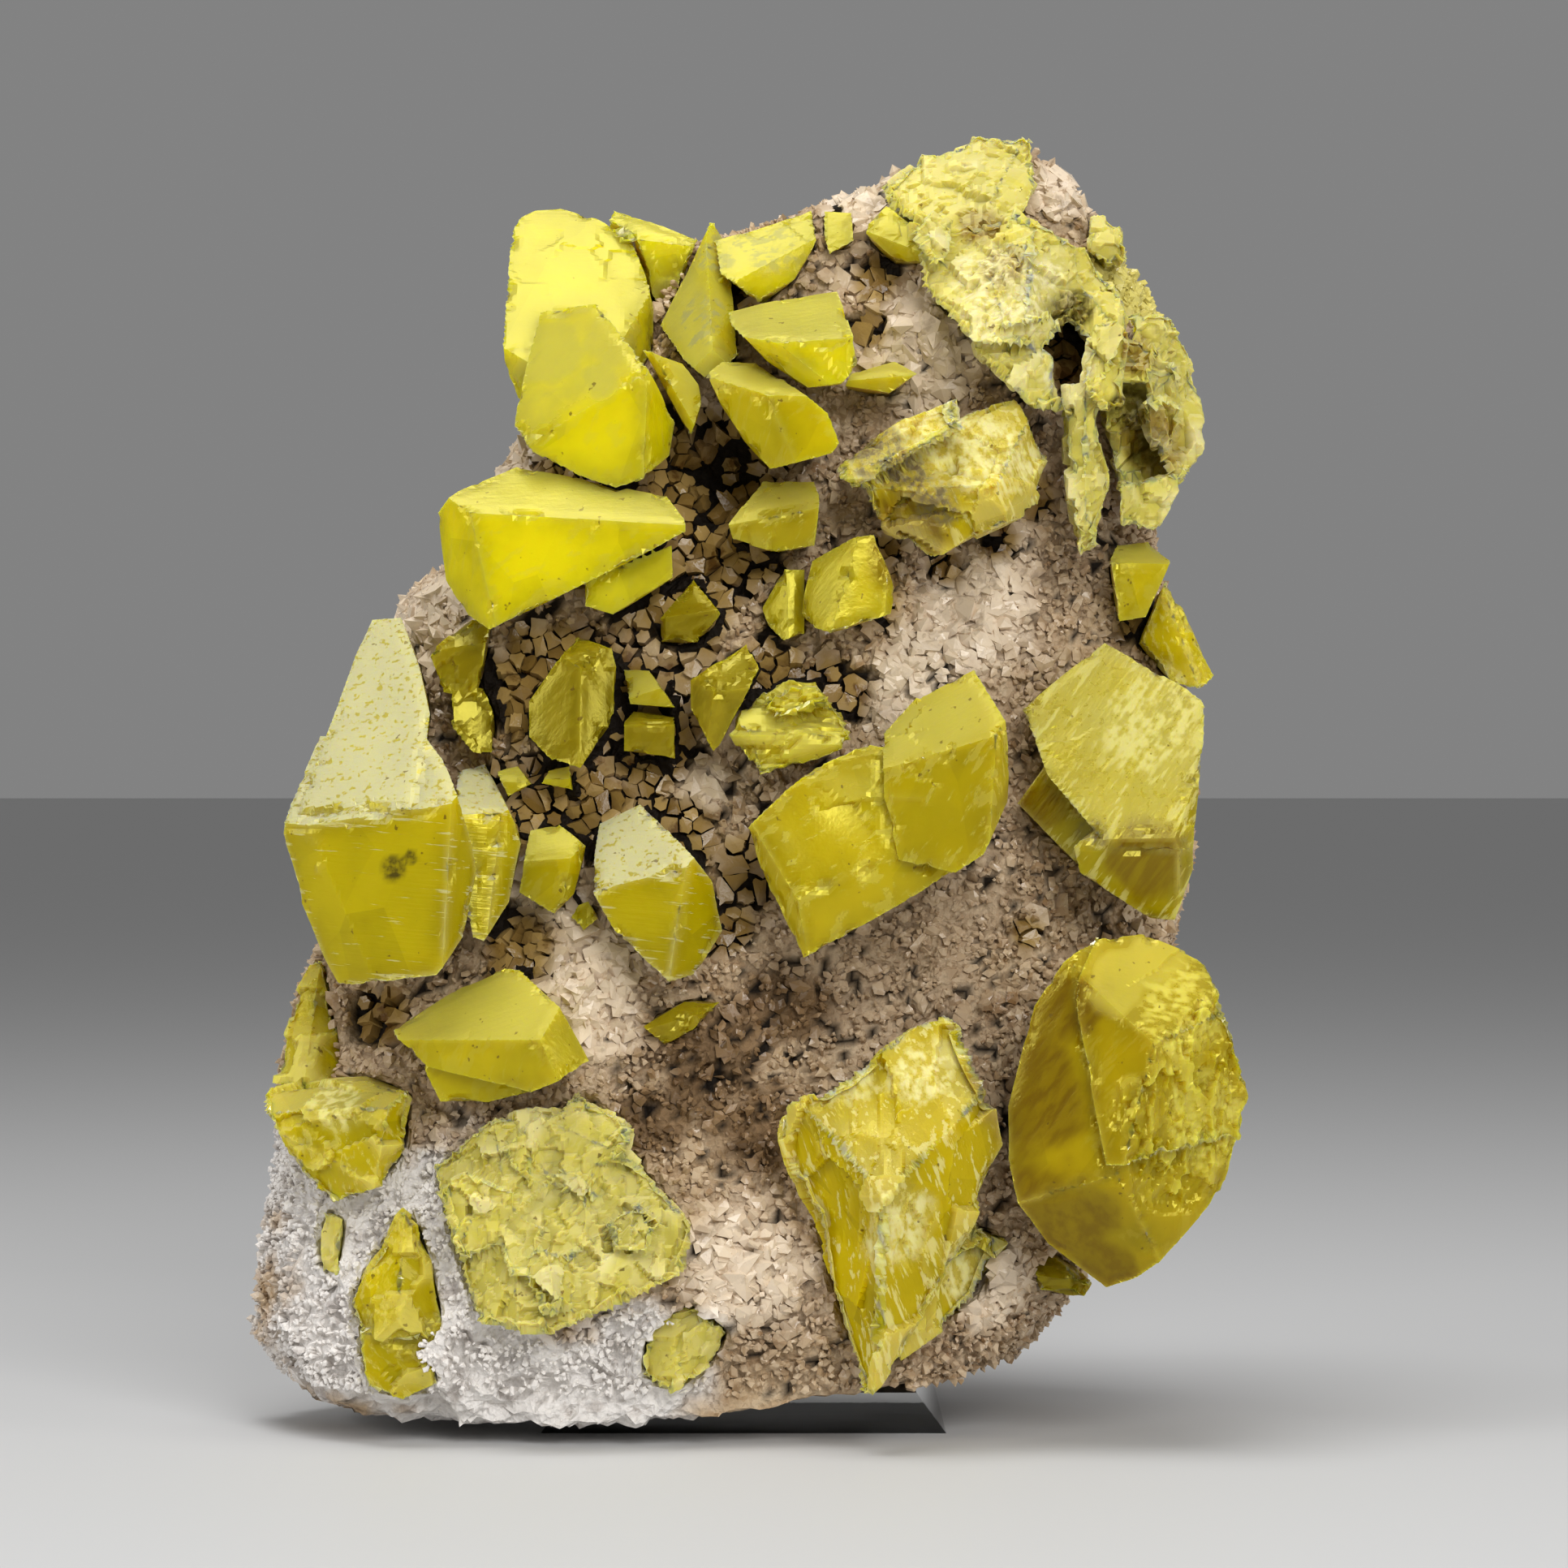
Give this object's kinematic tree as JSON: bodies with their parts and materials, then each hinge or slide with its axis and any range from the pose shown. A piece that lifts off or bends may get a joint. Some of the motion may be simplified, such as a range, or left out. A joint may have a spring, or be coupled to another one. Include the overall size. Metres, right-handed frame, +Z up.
{
  "type": "sulfur and aragonite specimen",
  "caption": "Upright mineral specimen: yellow sulfur crystals on a rock coated with fine white and tan aragonite, resting on a small clear block for display.",
  "frame": {"origin": "on the surface that it stands on, under the middle of its bounding box", "axes": "+Z up, -Y towards the crystal-covered front, +X to the right seen from the front"},
  "size_m": [0.1226, 0.0862, 0.1614],
  "materials": {
    "sulfur_crystal": "gloss",
    "sulfur_granular": "satin",
    "sulfur_amber": "gloss",
    "aragonite": "matte",
    "clear_block": "gloss"
  },
  "bodies": {
    "root": {"sulfur_tall_pair": "sulfur_crystal", "sulfur_wedge": "sulfur_crystal", "sulfur_top_pair": "sulfur_crystal", "sulfur_small_top": "sulfur_crystal", "sulfur_upper_block": "sulfur_crystal", "sulfur_lower_block": "sulfur_crystal", "sulfur_blade": "sulfur_crystal", "sulfur_rust_crystal": "sulfur_crystal", "sulfur_low_wedge": "sulfur_crystal", "sulfur_top_mass": "sulfur_granular", "sulfur_top_knob": "sulfur_crystal", "sulfur_broken_crystal": "sulfur_granular", "sulfur_edge_block": "sulfur_crystal", "sulfur_long_crystal": "sulfur_crystal", "sulfur_dim_diamond": "sulfur_amber", "sulfur_olive_crystal": "sulfur_amber", "sulfur_dim_cube": "sulfur_amber", "sulfur_clear_prism": "sulfur_crystal", "sulfur_olive_blade": "sulfur_amber", "sulfur_ledged_crystal": "sulfur_crystal", "sulfur_bright_block": "sulfur_crystal", "sulfur_etched_block": "sulfur_crystal", "sulfur_doublet": "sulfur_crystal", "sulfur_big_left": "sulfur_crystal", "sulfur_amber_cluster": "sulfur_amber", "sulfur_small_a": "sulfur_crystal", "sulfur_small_b": "sulfur_crystal", "sulfur_round_crystal": "sulfur_crystal", "sulfur_tiny": "sulfur_crystal", "sulfur_white_top": "sulfur_crystal", "sulfur_kite": "sulfur_crystal", "sulfur_left_block": "sulfur_crystal", "sulfur_pale_slab": "sulfur_granular", "sulfur_corner_crystal": "sulfur_crystal", "sulfur_granular_mass": "sulfur_granular", "sulfur_bottom_grain": "sulfur_granular", "sulfur_pyramid": "sulfur_crystal", "sulfur_giant": "sulfur_crystal", "sulfur_dark_foot": "sulfur_amber", "sulfur_striated": "sulfur_crystal", "sulfur_edge_shard": "sulfur_crystal", "sulfur_centre_olive": "sulfur_amber", "matrix": "aragonite", "stand": "clear_block"}
  },
  "joints": []
}
